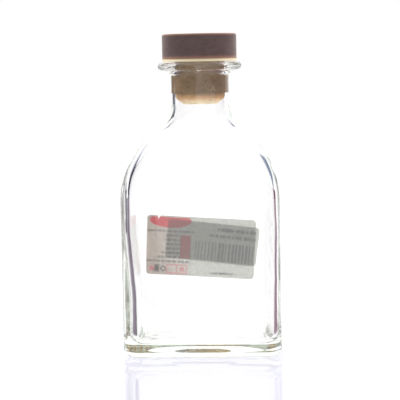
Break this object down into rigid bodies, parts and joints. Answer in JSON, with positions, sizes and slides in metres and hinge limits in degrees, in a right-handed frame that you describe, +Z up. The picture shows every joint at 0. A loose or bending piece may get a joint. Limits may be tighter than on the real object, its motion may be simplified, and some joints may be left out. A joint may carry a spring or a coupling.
{
  "type": "bottle",
  "caption": "Flat rectangular clear glass bottle with arched shoulders, short neck and flanged lip, closed by a pull-out cork with a turned wooden head; paper stickers on the back.",
  "frame": {"origin": "middle of the foot, at the height that the bottle stands on", "axes": "+Z up through the neck; the plain front faces -Y and the stickers are on the +Y face; +X is to the right seen from the front"},
  "size_m": [0.076, 0.0468, 0.1541],
  "materials": {
    "glass": "polished",
    "head_wood": "matte",
    "cork": "matte",
    "glue": "satin",
    "product_paper": "matte",
    "barcode_paper": "matte"
  },
  "bodies": {
    "bottle": {"bottle": "glass", "product_label": "product_paper", "barcode_label": "barcode_paper"},
    "stopper": {"stopper_head": "head_wood", "cork_shank": "cork", "glue_disc": "glue"}
  },
  "joints": [
    {"name": "stopper_lift", "type": "slide", "parent": "bottle", "child": "stopper", "axis": [0, 0, 1], "range_m": [0, 0.03]}
  ]
}
